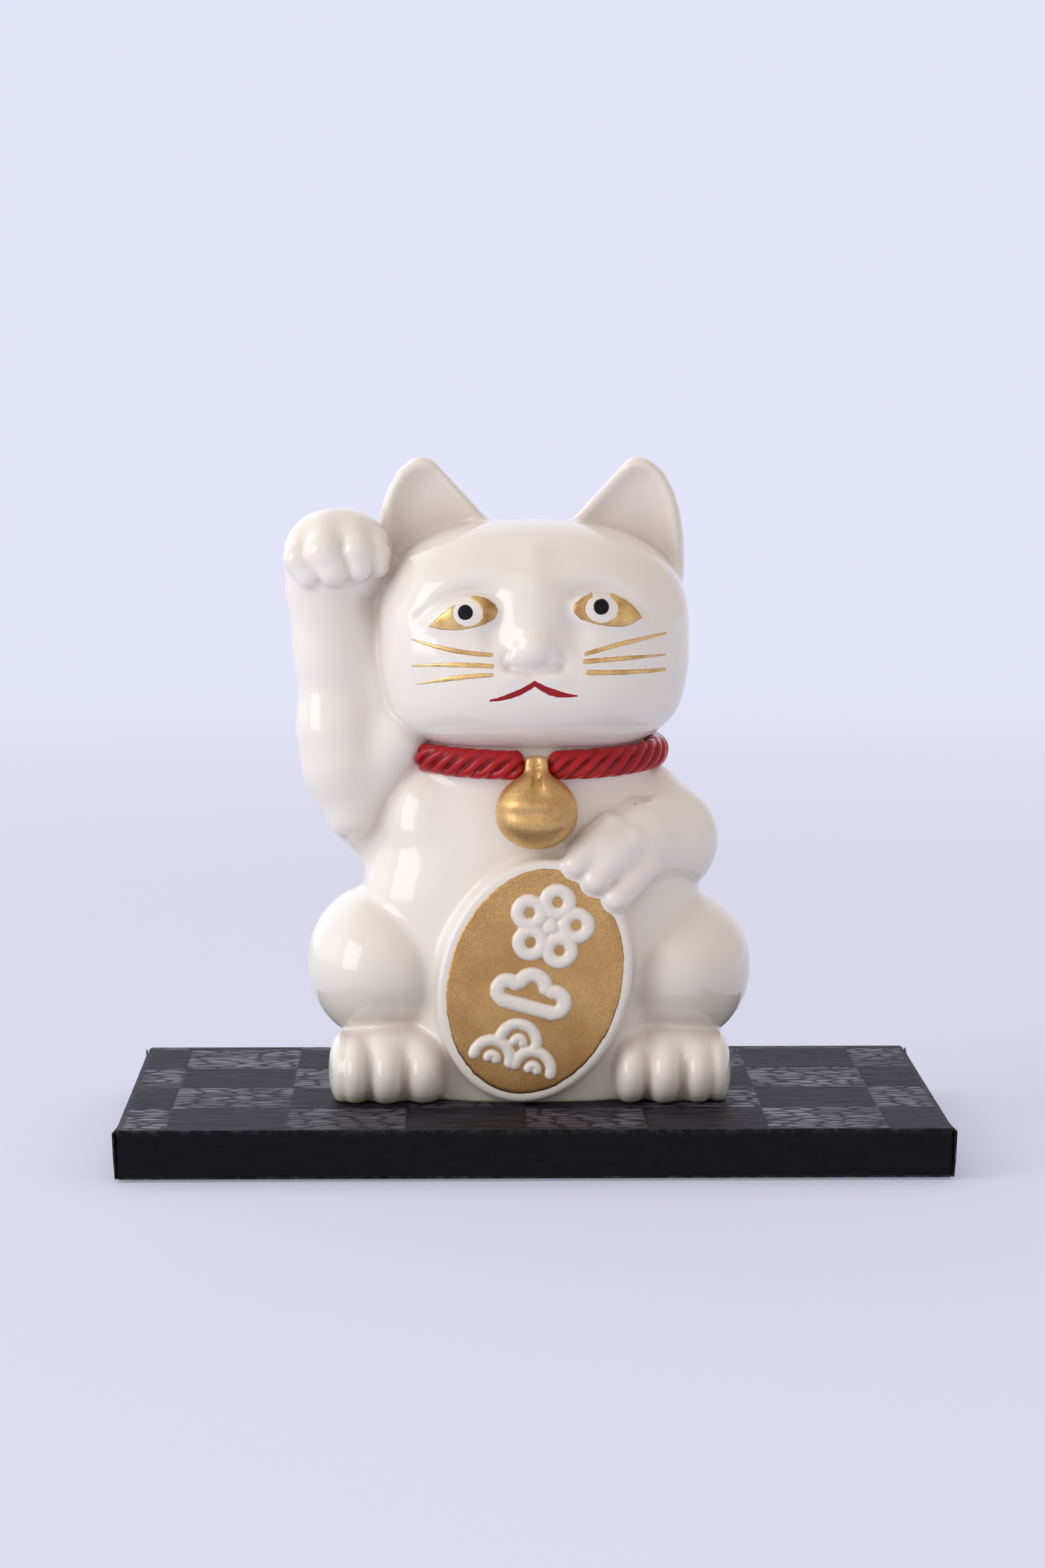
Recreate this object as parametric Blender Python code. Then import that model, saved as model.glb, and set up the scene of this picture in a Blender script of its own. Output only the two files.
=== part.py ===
"""A beckoning cat figurine standing on its covered display board.

The cat is one hollow slip-cast ceramic figure with a red cord collar, a gold
bell and a gold oval coin plaque with three raised white emblems. It stands
loose on a thin board that is wrapped in a covering sheet, whose turned-in
edges are hidden by a lining sheet underneath.

The model is in metres with +Z up. Its origin is the centre of the stand's
underside, and the cat faces -Y. The cat's pieces hang from an empty at the
middle of its own underside, so their coordinates count from there.
"""
import math

import bmesh
import bpy
from mathutils import Matrix, Vector

MM = 0.001

# Driving dimensions
STAND_WIDTH = 150 * MM
STAND_DEPTH = 90 * MM
STAND_HEIGHT = 9.4 * MM
COVER_THICKNESS = 0.4 * MM
COVER_CORNER = 0.8 * MM          # radius of the wrapped edges
COVER_LIP = 11 * MM              # how far the sheet turns in underneath
LINING_THICKNESS = 0.3 * MM
LINING_MARGIN = 3 * MM           # bare lip left showing around the lining
GAP = 0.3 * MM                   # clearance between neighbouring pieces
THIN_GAP = 0.15 * MM             # clearance between flat sheets

CAT_HEIGHT = 118.4 * MM
HEAD_CENTRE = Vector((0.3, -0.5, 86.6)) * MM
HEAD_RADII = Vector((29.2, 23.6, 20.3)) * MM
VENT_RADIUS = 7 * MM             # firing vent in the cat's underside

NECK_CENTRE = Vector((0.3, 0.5, 62.6)) * MM
COLLAR_PATH = (23.2 * MM, 18.2 * MM)       # half-axes of the cord's centre line
COLLAR_SECTION = (2.3 * MM, 2.7 * MM)      # half-thickness outwards and up
COLLAR_SLOPE = 0.07              # the cord climbs this much towards the back
COLLAR_SHORT = (-64.0, -4.8)     # degrees round the neck from the front, + to the cat's left
COLLAR_LONG = (6.2, 230.0)

BELL_CENTRE = Vector((0.7, -20.8, 54.3)) * MM
BELL_RADIUS = 7.3 * MM
BELL_DEPTH = 0.88                # the bell is this much flatter front to back
BELL_LOOP = (1.9 * MM, 9.9 * MM)           # half-width, and height above the bell's middle

COIN_CENTRE = Vector((0.4, 0, 23.2)) * MM
COIN_RADII = (15.9 * MM, 21.2 * MM)
COIN_TILT = 15.6                 # degrees, the top leaning to the cat's left
COIN_FACE = -22.4 * MM           # Y of the gold face
COIN_THICKNESS = 2.0 * MM
EMBLEM_HEIGHT = 1.0 * MM         # how far the white emblems stand proud
EMBLEM_STROKE = 1.1 * MM         # half-width of an emblem's line

for old in list(bpy.data.objects):
    bpy.data.objects.remove(old)


# ------------------------------------------------------------------ helpers

def material(name, colour, roughness, metallic=0.0):
    made = bpy.data.materials.new(name)
    made.use_nodes = True
    shader = made.node_tree.nodes["Principled BSDF"]
    shader.inputs["Base Color"].default_value = (*colour, 1)
    shader.inputs["Roughness"].default_value = roughness
    shader.inputs["Metallic"].default_value = metallic
    return made


def make_object(name, bm, finish=None, parent=None, smooth=True):
    """A named object from a bmesh; a piece with no finish is a cutter."""
    mesh = bpy.data.meshes.new(name)
    bmesh.ops.recalc_face_normals(bm, faces=bm.faces)
    bm.to_mesh(mesh)
    bm.free()
    if smooth:
        mesh.shade_smooth()
        mesh.set_sharp_from_angle(angle=math.radians(40))
    piece = bpy.data.objects.new(name, mesh)
    bpy.context.scene.collection.objects.link(piece)
    piece.parent = parent
    if finish:
        mesh.materials.append(finish)
    else:
        piece.hide_render = True
        piece.display_type = "WIRE"
    return piece


def cut(piece, cutter):
    """Take a cutter's volume away from a piece."""
    boolean = piece.modifiers.new("Cut " + cutter.name, "BOOLEAN")
    boolean.operation = "DIFFERENCE"
    boolean.solver = "EXACT"
    boolean.object = cutter


def melt(piece, voxel, smoothing, ratio):
    """Fuse a piece's overlapping forms into one rounded skin."""
    remesh = piece.modifiers.new("Fuse", "REMESH")
    remesh.mode = "VOXEL"
    remesh.voxel_size = voxel
    remesh.use_smooth_shade = True
    if smoothing:
        smooth = piece.modifiers.new("Round", "SMOOTH")
        smooth.factor = 0.5
        smooth.iterations = smoothing
    decimate = piece.modifiers.new("Thin out", "DECIMATE")
    decimate.ratio = ratio


def add_blob(bm, centre, radii, power=2.0, detail=3):
    """A superellipsoid in millimetres: power 2 is an ellipsoid, more is boxier."""
    verts = bmesh.ops.create_icosphere(bm, subdivisions=detail, radius=1)["verts"]
    for vert in verts:
        reach = sum(abs(c) ** power for c in vert.co) ** (-1 / power)
        for axis in range(3):
            vert.co[axis] = (centre[axis] + vert.co[axis] * reach * radii[axis]) * MM


def unit_ball(detail=2):
    ball = bmesh.new()
    bmesh.ops.create_icosphere(ball, subdivisions=detail, radius=1)
    points = [vert.co.copy() for vert in ball.verts]
    ball.free()
    return points


BALL = unit_ball()


def add_hull(bm, *balls):
    """The tight skin round a few balls, each (x, y, z, radius) in millimetres."""
    verts = [bm.verts.new((Vector(ball[:3]) + point * ball[3]) * MM) for ball in balls for point in BALL]
    hull = bmesh.ops.convex_hull(bm, input=verts)
    loose = [item for item in hull["geom_interior"] + hull["geom_unused"] if isinstance(item, bmesh.types.BMVert)]
    bmesh.ops.delete(bm, geom=list(set(loose)), context="VERTS")


def add_prism(bm, outline, near, far):
    """An outline of (x, z) points in metres, extruded along Y from near to far."""
    face = bm.faces.new([bm.verts.new((x, near, z)) for x, z in outline])
    grown = bmesh.ops.extrude_face_region(bm, geom=[face])["geom"]
    bmesh.ops.translate(bm, vec=(0, far - near, 0), verts=[g for g in grown if isinstance(g, bmesh.types.BMVert)])


def add_box(bm, low, high):
    low, high = Vector(low), Vector(high)
    place = Matrix.Translation((low + high) / 2) @ Matrix.Diagonal((*(high - low), 1))
    return bmesh.ops.create_cube(bm, size=1, matrix=place)["verts"]


def round_upright_edges(bm, radius, segments=3):
    edges = [e for e in bm.edges if abs((e.verts[0].co - e.verts[1].co).normalized().z) > 0.99]
    bmesh.ops.bevel(bm, geom=edges, offset=radius, segments=segments, affect="EDGES", profile=0.5)


# ---------------------------------------------------------------- materials

white_glaze = material("white_glaze", (0.86, 0.84, 0.80), 0.12)
red_enamel = material("red_enamel", (0.48, 0.01, 0.03), 0.12)
gold_lustre = material("gold_lustre", (0.55, 0.36, 0.13), 0.38, 0.9)
core_board = material("core_board", (0.42, 0.30, 0.19), 0.85)
cover_sheet = material("cover_sheet", (0.014, 0.014, 0.017), 0.5)
lining_paper = material("lining_paper", (0.03, 0.03, 0.032), 0.8)

# -------------------------------------------------------------------- stand

half_width, half_depth = STAND_WIDTH / 2, STAND_DEPTH / 2

bm = bmesh.new()
add_box(bm, (LINING_MARGIN - half_width, LINING_MARGIN - half_depth, 0),
        (half_width - LINING_MARGIN, half_depth - LINING_MARGIN, LINING_THICKNESS))
make_object("stand_lining", bm, lining_paper, smooth=False)

cover_bottom = LINING_THICKNESS + THIN_GAP
core_bottom = cover_bottom + COVER_THICKNESS + THIN_GAP
core_top = STAND_HEIGHT - COVER_THICKNESS - THIN_GAP
core_inset = COVER_THICKNESS + THIN_GAP

bm = bmesh.new()
add_box(bm, (core_inset - half_width, core_inset - half_depth, core_bottom),
        (half_width - core_inset, half_depth - core_inset, core_top))
round_upright_edges(bm, 0.5 * MM)
make_object("stand_core", bm, core_board)

bm = bmesh.new()
add_box(bm, (-half_width, -half_depth, cover_bottom), (half_width, half_depth, STAND_HEIGHT))
round_upright_edges(bm, COVER_CORNER)
upper = [e for e in bm.edges if all(v.co.z > STAND_HEIGHT - 1e-6 for v in e.verts)]
bmesh.ops.bevel(bm, geom=upper, offset=0.5 * MM, segments=2, affect="EDGES", profile=0.5)
stand_cover = make_object("stand_cover", bm, cover_sheet)

bm = bmesh.new()
inner = COVER_THICKNESS
add_box(bm, (inner - half_width, inner - half_depth, cover_bottom + COVER_THICKNESS),
        (half_width - inner, half_depth - inner, STAND_HEIGHT - COVER_THICKNESS))
round_upright_edges(bm, 0.4 * MM)
cut(stand_cover, make_object("cut_cover_inside", bm))

bm = bmesh.new()
add_box(bm, (COVER_LIP - half_width, COVER_LIP - half_depth, 0), (half_width - COVER_LIP, half_depth - COVER_LIP, 2 * MM))
cut(stand_cover, make_object("cut_cover_window", bm))

# ---------------------------------------------------------------------- cat

seat = bpy.data.objects.new("figure_seat", None)
seat.location.z = STAND_HEIGHT + GAP
bpy.context.scene.collection.objects.link(seat)

bm = bmesh.new()
add_blob(bm, (0, 1.5, 33), (31.8, 20, 24), 2.6)                      # belly
add_blob(bm, (0, 3.5, 14), (25, 22.2, 26), 3.0)                      # lap
add_blob(bm, (0, 8, 21), (27.5, 18.5, 25), 2.5)                      # rump
add_blob(bm, (0.3, 1.2, 50), (27, 18.2, 15), 2.3)                    # chest
add_blob(bm, (0.3, 0.5, 62), (22.8, 17.8, 10), 3.0)                  # neck
add_blob(bm, (-27.3, 1.5, 23.6), (14.8, 20.2, 14.9))                 # thighs
add_blob(bm, (26.9, 1.5, 22.8), (14.5, 20.2, 14.7))
for side in (-1, 1):
    add_blob(bm, (side * 26.4, -8, 4.8), (10.4, 14, 7.5), 2.8)       # foot
    add_hull(bm, (side * 20.7, 3.6, CAT_HEIGHT / MM - 3.8, 3.8), (side * 23.5, 3.4, 109.6, 3.7),
             (side * 25, 3, 97, 3.7), (side * 9.6, 3.6, 103, 3.7))   # ear
add_blob(bm, HEAD_CENTRE / MM, HEAD_RADII / MM, 2.5, 4)              # skull
add_blob(bm, (0.4, -1.2, 78), (28, 22, 14.6), 2.6)                   # jowls
add_hull(bm, (0.2, -17, 100, 5), (0.3, -22.5, 85, 5))                # bridge of the nose
add_blob(bm, (0.3, -24.6, 85), (5.4, 4.7, 4.2))                      # nose
add_hull(bm, (-37.9, -3, 94, 7.9), (-37, -3, 82, 6.5))               # raised forearm, down to its elbow
add_hull(bm, (-37, -3, 82, 6.5), (-35.6, -3, 68, 7.4), (-34.6, -3.2, 60.5, 7.5))
add_hull(bm, (-34.6, -3.2, 60.5, 7.5), (-33.2, -4.2, 51.7, 4.3), (-24.6, -5, 66.3, 5.6))
add_hull(bm, (-30, 1.2, 64, 5.2), (-33, 1.2, 98, 5.2), (-22, 1.2, 90, 5.2))     # web to the head
add_blob(bm, (-35.9, -4.4, 99.4), (10.3, 9.5, 9.1), 2.2)             # raised paw
add_hull(bm, (19.8, 1, 52.3, 9.8), (23.9, -2, 47.2, 11))             # resting arm
add_hull(bm, (23.9, -3, 47.2, 10.6), (18.7, -11, 47.4, 8.3))
add_hull(bm, (18.7, -11, 47.4, 8.3), (13.4, -16.4, 45.9, 6.7), (9.6, -19, 45.4, 4.4))
add_hull(bm, (18.2, -18.2, 43.4, 3.6), (14.6, -18.6, 48, 3.6), (8.2, -20.8, 44.3, 3), (14.6, -20.6, 39.2, 3))
add_hull(bm, (2, 25, 5.5, 6.5), (12, 29, 8.5, 6))                    # tail, curled up behind
add_hull(bm, (12, 29, 8.5, 6), (20, 28.5, 15, 5))
add_hull(bm, (20, 28.5, 15, 5), (22, 26.5, 23, 3.8))
ceramic_body = make_object("ceramic_body", bm, white_glaze, seat)
melt(ceramic_body, 1.3 * MM, 3, 0.075)


def on_coin(across, up, y):
    """A point in the coin's own tilted axes."""
    lean = math.radians(COIN_TILT)
    x = COIN_CENTRE.x + across * math.cos(lean) + up * math.sin(lean)
    z = COIN_CENTRE.z - across * math.sin(lean) + up * math.cos(lean)
    return Vector((x, y, z))


def coin_outline(grow=0.0, count=56):
    outline = []
    for step in range(count):
        angle = math.tau * step / count
        point = on_coin((COIN_RADII[0] + grow) * math.cos(angle), (COIN_RADII[1] + grow) * math.sin(angle), 0)
        outline.append((point.x, point.z))
    return outline


# The coin's white bed stands out of the belly, and its recess holds the plaque
bm = bmesh.new()
add_prism(bm, coin_outline(2.0 * MM), COIN_FACE + 0.4 * MM, -12 * MM)
bevelled = [e for e in bm.edges if all(v.co.y < COIN_FACE + 1 * MM for v in e.verts)]
bmesh.ops.bevel(bm, geom=bevelled, offset=1.2 * MM, segments=2, affect="EDGES", profile=0.5)
coin_bed = make_object("cut_coin_bed", bm, parent=seat)
bed_union = ceramic_body.modifiers.new("Coin bed", "BOOLEAN")
bed_union.operation = "UNION"
bed_union.solver = "EXACT"
bed_union.object = coin_bed

bm = bmesh.new()
add_prism(bm, coin_outline(GAP), -40 * MM, COIN_FACE + COIN_THICKNESS + GAP)
cut(ceramic_body, make_object("cut_coin_recess", bm, parent=seat))

# The flat foot ring, the hollow inside and the vent that opens it
bm = bmesh.new()
add_box(bm, (-70 * MM, -70 * MM, -30 * MM), (70 * MM, 70 * MM, 0))
cut(ceramic_body, make_object("cut_underside", bm, parent=seat))

bm = bmesh.new()
add_blob(bm, (0, 3, 25.5), (26.5, 17, 21.5), 2.4, 2)
add_blob(bm, (0, 2, 46), (23, 13.5, 16), 2.1, 2)
add_hull(bm, (0, 0.5, 55, 10.5), (0, 0.5, 78, 12))
add_blob(bm, (0.3, 0.5, 86), (24.5, 18, 15.5), 2.4, 2)
hollow = make_object("cut_hollow", bm, parent=seat)
melt(hollow, 2.4 * MM, 1, 0.13)
cut(ceramic_body, hollow)

bm = bmesh.new()
bmesh.ops.create_cone(bm, cap_ends=True, segments=24, radius1=VENT_RADIUS, radius2=VENT_RADIUS, depth=20 * MM,
                      matrix=Matrix.Translation((0, 6 * MM, 2 * MM)))
cut(ceramic_body, make_object("cut_vent", bm, parent=seat))


def neck_point(degrees, outwards=0.0, up=0.0):
    """A point by its angle round the neck, from the front towards the cat's left."""
    angle = math.radians(degrees)
    x = (COLLAR_PATH[0] + outwards) * math.sin(angle)
    y = -(COLLAR_PATH[1] + outwards) * math.cos(angle)
    return NECK_CENTRE + Vector((x, y, up + COLLAR_SLOPE * (y + COLLAR_PATH[1])))


def collar_cord(name, start, end, grow=0.0, finish=None):
    """A fat oval cord round the neck from one angle to another, with rounded ends."""
    bm = bmesh.new()
    steps, sides = max(8, round((end - start) / 6)), 12
    rounding = [(0.0, 0.35), (0.15, 0.68), (0.45, 0.9), (1.0, 1.0)]
    stations = [(start + 4 * along, size) for along, size in rounding]
    stations += [(start + 4 + (end - start - 8) * step / steps, 1.0) for step in range(1, steps)]
    stations += [(end - 4 * along, size) for along, size in reversed(rounding)]
    rings = []
    for degrees, size in stations:
        ring = []
        for side in range(sides):
            turn = math.tau * side / sides
            outwards = (COLLAR_SECTION[0] * size + grow) * math.cos(turn)
            up = (COLLAR_SECTION[1] * size + grow) * math.sin(turn)
            ring.append(bm.verts.new(neck_point(degrees, outwards, up)))
        rings.append(ring)
    for near, far in zip(rings, rings[1:]):
        for side in range(sides):
            after = (side + 1) % sides
            bm.faces.new((near[side], near[after], far[after], far[side]))
    bm.faces.new(rings[0])
    bm.faces.new(reversed(rings[-1]))
    return make_object(name, bm, finish, seat)


def bell_form(name, grow=0.0, finish=None):
    """The bell and its pinched loop, turned about the vertical and flattened."""
    profile = []
    for step in range(13):
        angle = math.radians(-90 + 152 * step / 12)
        profile.append(((BELL_RADIUS + grow) * math.cos(angle), (BELL_RADIUS + grow) * math.sin(angle)))
    half_loop, loop_top = BELL_LOOP
    profile += [(half_loop + grow, 7.6 * MM), (half_loop + grow, loop_top + grow), (0, loop_top + grow)]
    profile[0] = (0, -BELL_RADIUS - grow)
    bm = bmesh.new()
    verts = [bm.verts.new((x, 0, z)) for x, z in profile]
    edges = [bm.edges.new(pair) for pair in zip(verts, verts[1:])]
    bmesh.ops.spin(bm, geom=verts + edges, cent=(0, 0, 0), axis=(0, 0, 1), angle=math.tau, steps=28, use_merge=True)
    bmesh.ops.remove_doubles(bm, verts=bm.verts, dist=1e-6)
    for vert in bm.verts:
        vert.co = BELL_CENTRE + Vector((vert.co.x, vert.co.y * BELL_DEPTH, vert.co.z))
    return make_object(name, bm, finish, seat)


bell = bell_form("bell", finish=gold_lustre)
bell_room = bell_form("cut_bell_room", GAP)
cut(ceramic_body, collar_cord("cut_collar_groove", COLLAR_SHORT[0] - 2, COLLAR_LONG[1] + 2, GAP))
cut(ceramic_body, bell_room)
collar_short = collar_cord("collar_short", *COLLAR_SHORT, finish=red_enamel)
collar_long = collar_cord("collar_long", *COLLAR_LONG, finish=red_enamel)
cut(collar_short, bell_room)
cut(collar_long, bell_room)

# --------------------------------------------------------------------- coin

bm = bmesh.new()
add_prism(bm, coin_outline(), COIN_FACE, COIN_FACE + COIN_THICKNESS)
make_object("coin_plaque", bm, gold_lustre, seat)


def emblem(name, strokes):
    """White relief lines in the coin's axes, in millimetres, fused into one form."""
    bm = bmesh.new()
    for line in strokes:
        for near, far in zip(line, line[1:]):
            add_hull(bm, (near[0], 0, near[1], EMBLEM_STROKE / MM), (far[0], 0, far[1], EMBLEM_STROKE / MM))
    flatten = EMBLEM_HEIGHT / 2 / EMBLEM_STROKE
    middle = COIN_FACE - THIN_GAP - EMBLEM_HEIGHT / 2
    for vert in bm.verts:
        vert.co = on_coin(vert.co.x, vert.co.z, middle + vert.co.y * flatten)
    piece = make_object(name, bm, white_glaze, seat)
    melt(piece, 0.25 * MM, 3, 0.08)
    return piece


def arc(centre, radius, start, end, count=9):
    """Points on an arc, angles in degrees from the coin's right, counter-clockwise."""
    angles = [math.radians(start + (end - start) * step / (count - 1)) for step in range(count)]
    return [(centre[0] + radius * math.cos(a), centre[1] + radius * math.sin(a)) for a in angles]


petals = [arc((0, 10.6), 0.4, 0, 360)]
for petal in range(5):
    heading = math.radians(90 + 72 * petal)
    petals.append(arc((4.7 * math.cos(heading), 10.6 + 4.7 * math.sin(heading)), 2.2, 0, 360))
emblem("emblem_blossom", petals)
emblem("emblem_cloud", [
    arc((-4.4, -2.9), 1.9, 270, 60), arc((-0.2, -1.3), 2.5, 165, 15), arc((4.3, -2.8), 2.0, 115, -90),
    [(-4.4, -4.8), (4.3, -4.8)],
])
fans = []
for across, up in ((-3.9, -15.8), (3.9, -15.8), (0, -11.6)):
    fans += [arc((across, up), 3.4, 180, 0), arc((across, up), 0.9, 180, 0)]
emblem("emblem_wave", fans)
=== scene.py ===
"""Looks of the beckoning cat figurine.

The cat is sculpted as one smooth distance field, with rounded forms melted into
each other, and meshed finely. Its painted details (eyes, whiskers, mouth), the
gold coin face and the raised emblems are thin closed patches laid on that skin.
The collar is a twisted cord, the bell a small field of its own, and the stand
is a board wrapped in embossed paper. Lengths are millimetres until a mesh is
made. The cat's own coordinates count from the middle of its underside.
"""

import math
from functools import reduce

import bpy
import numpy as np
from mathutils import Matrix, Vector


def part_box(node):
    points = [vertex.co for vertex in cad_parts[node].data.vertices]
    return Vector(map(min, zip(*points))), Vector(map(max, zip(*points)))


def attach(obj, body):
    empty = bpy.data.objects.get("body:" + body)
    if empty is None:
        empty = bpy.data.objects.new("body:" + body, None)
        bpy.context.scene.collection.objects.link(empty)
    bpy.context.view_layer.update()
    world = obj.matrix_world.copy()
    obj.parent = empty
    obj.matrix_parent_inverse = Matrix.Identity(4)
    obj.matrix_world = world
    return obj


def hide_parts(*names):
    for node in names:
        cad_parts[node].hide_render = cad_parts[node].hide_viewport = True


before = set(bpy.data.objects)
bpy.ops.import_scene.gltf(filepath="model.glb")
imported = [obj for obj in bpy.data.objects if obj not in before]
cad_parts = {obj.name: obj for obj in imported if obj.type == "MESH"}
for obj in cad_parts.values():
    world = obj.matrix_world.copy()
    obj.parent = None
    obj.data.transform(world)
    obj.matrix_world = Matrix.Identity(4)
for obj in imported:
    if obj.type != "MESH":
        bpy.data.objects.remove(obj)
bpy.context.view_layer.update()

MM = 0.001
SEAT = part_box("ceramic_body")[0].z / MM - 0.2     # the cat's foot rests on the covered board
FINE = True
F32 = np.float32


# ---- distance fields

def turned(p, centre, turn):
    """Points in a form's own axes: moved to its centre, then turned back about x, y and z."""
    q = p - np.array(centre, F32)
    for axis, degrees in zip("xyz", turn or ()):
        if degrees:
            c, s = math.cos(math.radians(-degrees)), math.sin(math.radians(-degrees))
            i, j = {"x": (1, 2), "y": (2, 0), "z": (0, 1)}[axis]
            a, b = q[:, i] * c - q[:, j] * s, q[:, i] * s + q[:, j] * c
            q = q.copy()
            q[:, i], q[:, j] = a, b
    return q


def blob(p, centre, radii, power=2.0, turn=None):
    """A superellipsoid: power 2 is an ellipsoid, and more is boxier."""
    q = np.abs(turned(p, centre, turn)) + F32(1e-6)
    u = q / np.array(radii, F32)
    up = u ** power
    g = up.sum(1) ** (1 / power)
    w = (up / u) / np.array(radii, F32)
    slope = np.sqrt((w * w).sum(1)) * g ** (1 - power)
    return (g - 1) / np.maximum(slope, 1e-3) * np.minimum(1, np.maximum(g, 0.3))


def off_line(p, a, ab):
    """Vectors to the points from the nearest place on the line from a along ab, and its share of the line."""
    t = np.clip(((p - a) @ ab) / F32(ab @ ab), 0, 1)
    return p - a - t[:, None] * ab, t


def limb(p, a, b, ra, rb):
    """A rod with round ends whose radius goes from ra to rb."""
    a, b = np.array(a, F32), np.array(b, F32)
    d, t = off_line(p, a, b - a)
    return np.sqrt((d * d).sum(1)) - (ra + t * (rb - ra))


def plate(p, a, b, c, r):
    """A triangle with thickness r all round."""
    a, b, c = (np.array(x, F32) for x in (a, b, c))
    edges = ((a, b - a), (b, c - b), (c, a - c))
    n = np.cross(b - a, a - c)
    inside = sum(np.sign((p - start) @ np.cross(edge, n)) for start, edge in edges) < 2
    nearest = reduce(np.minimum, ((off_line(p, *edge)[0] ** 2).sum(1) for edge in edges))
    flat = ((p - a) @ n) ** 2 / F32(n @ n)
    return np.sqrt(np.where(inside, nearest, flat)) - r


def join(a, b, k):
    """Union, with a fillet of about k."""
    if k <= 0:
        return np.minimum(a, b)
    h = np.maximum(k - np.abs(a - b), 0) / k
    return np.minimum(a, b) - h * h * h * k / 6


def carve(a, b, k):
    return -join(-a, b, k)


def united(forms, k=0):
    """Forms joined one after another."""
    return reduce(lambda a, b: join(a, b, k), forms)


def chain(p, points, radii, k):
    """Limbs end to end."""
    return united((limb(p, *ends) for ends in zip(points, points[1:], radii, radii[1:])), k)


def melt(p, d, *forms):
    """A form with blobs joined to it. Each is a fillet and then what blob takes."""
    for k, *form in forms:
        d = join(d, blob(p, *form), k)
    return d


def oval(x, z, half_width, half_height):
    """Distance in a plane to an ellipse."""
    u, v = x / half_width, z / half_height
    k0 = np.sqrt(u * u + v * v) + 1e-6
    k1 = np.sqrt((u / half_width) ** 2 + (v / half_height) ** 2) + 1e-9
    return k0 * (k0 - 1) / k1


def smoothstep(t):
    t = np.clip(t, 0, 1)
    return t * t * (3 - 2 * t)


# ---- the cat's forms

COIN_X, COIN_Z, COIN_TILT = 0.4, 23.2, 15.6
COIN_HALF = np.array((15.9, 21.2))
COIN_FACE = -22.3
COIN_RIM = 1.7                # white lip round the gold
TOES = {-1: ((-35.0, 2.2, -11.5), (-32.7, 2.75, -13.0), (-26.9, 3.4, -13.6), (-20.1, 3.8, -13.0)),
        1: ((18.3, 3.1, -13.0), (24.4, 3.4, -13.6), (30.6, 3.0, -13.0), (34.3, 2.1, -11.5))}


def torso(p):
    """Trunk and thighs."""
    return melt(p, blob(p, (0, 1.5, 33), (31.8, 20, 24), 2.6),
                (8, (0, 3.5, 14), (25, 22.2, 26), 3.0),
                (6, (0.3, 1.2, 50), (27, 18.2, 15), 2.3),
                (3, (-18, 0.5, 50), (11.5, 14.5, 14)),
                (6, (0, 9, 18), (27, 18.5, 22), 2.5),
                (4, (0.3, 0.5, 62), (22.2, 17.2, 10), 2.2),
                (1.8, (-27.3, 1.5, 23.6), (14.8, 20.2, 14.9), 2.05),
                (1.8, (26.9, 1.5, 22.8), (14.5, 20.2, 14.7), 2.05))


def foot(p, side):
    toes = united((blob(p, (x, y, 5.4), (half + 0.6, 9.4, 6.5), 2.2) for x, half, y in TOES[side]), 1.2)
    return melt(p, toes, (2.0, (side * 26.4, -5.0, 4.6), (10.2, 13.4, 7.4), 2.5),
                (4, (side * 26.0, -8.6, 9.0), (8.6, 10.0, 5.6)))


def pressed(p, d, line, width, depth):
    """A soft groove pressed into the face along a line seen from the front."""
    near = (p[:, 1] < -8) & (p[:, 2] > 72) & (p[:, 2] < 102)
    q, d = p[near], d.copy()
    away = stroke(q[:, 0], q[:, 2], line, [0] * len(line))
    d[near] += depth * np.exp(-(away / width) ** 2) * smoothstep((-8 - q[:, 1]) / 5)
    return d


FACE_X = 0.3                  # the face's middle
NOSTRIL = ((5.0, 83.6), (5.6, 82.2), (4.9, 81.0))
EYELID = ((21.2, 89.6), (19.0, 91.5), (16.4, 93.3), (13.4, 94.5), (10.4, 94.8), (7.4, 93.9))


def head(p):
    """Skull and jowls, hollowed for the eyes; eyeballs, nose and muzzle; and the creases round them."""
    d = melt(p, blob(p, (FACE_X, -0.5, 86.6), (29.2, 23.6, 20.3), 2.5),
             (5, (0.4, -1.2, 78), (28.0, 22.0, 14.6), 2.6))
    for side in (-1, 1):
        d = carve(d, blob(p, (FACE_X + side * 13.4, -27.2, 94.2), (10.8, 6.3, 4.6), 2, (0, side * 14, 0)), 4.0)
        d = carve(d, blob(p, (FACE_X + side * 7.6, -27.2, 89.8), (3.2, 4.9, 7.0), 2), 3.6)
        eyeball = (FACE_X + side * 12.8, -17.9, 90.2), (8.7, 5.3, 4.7), 2.2, (0, side * 13, side * 16)
        d = melt(p, d, (1.0, *eyeball))
    bridge = chain(p, ((0.2, -16.6, 99), (0.2, -19.0, 94), (FACE_X, -20.8, 89.5), (FACE_X, -22.2, 86)),
                   (3.2, 3.7, 3.5, 3.3), 3)
    d = melt(p, join(d, bridge, 4), (6, (FACE_X, -18.6, 76.6), (16, 6.0, 7.6)),
             (2.2, (FACE_X, -23.1, 84.6), (3.9, 3.9, 3.7)))
    for side in (-1, 1):
        d = melt(p, d, (1.4, (FACE_X + side * 3.7, -23.0, 83.0), (1.9, 2.2, 1.8)),
                 (1.8, (FACE_X + side * 3.6, -23.0, 79.2), (3.6, 2.3, 1.7)))
        d = pressed(p, d, [(FACE_X + side * x, z) for x, z in NOSTRIL], 0.8, 0.50)
        d = pressed(p, d, [(FACE_X + side * x, z + 0.5 * (side > 0)) for x, z in EYELID], 1.1, 0.50)
    return pressed(p, d, bow((-4.2, 81.1), (4.8, 81.1), -0.7), 0.75, 0.55)


def sided(p, side):
    return p if side > 0 else p * np.array((-1, 1, 1), F32)


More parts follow.
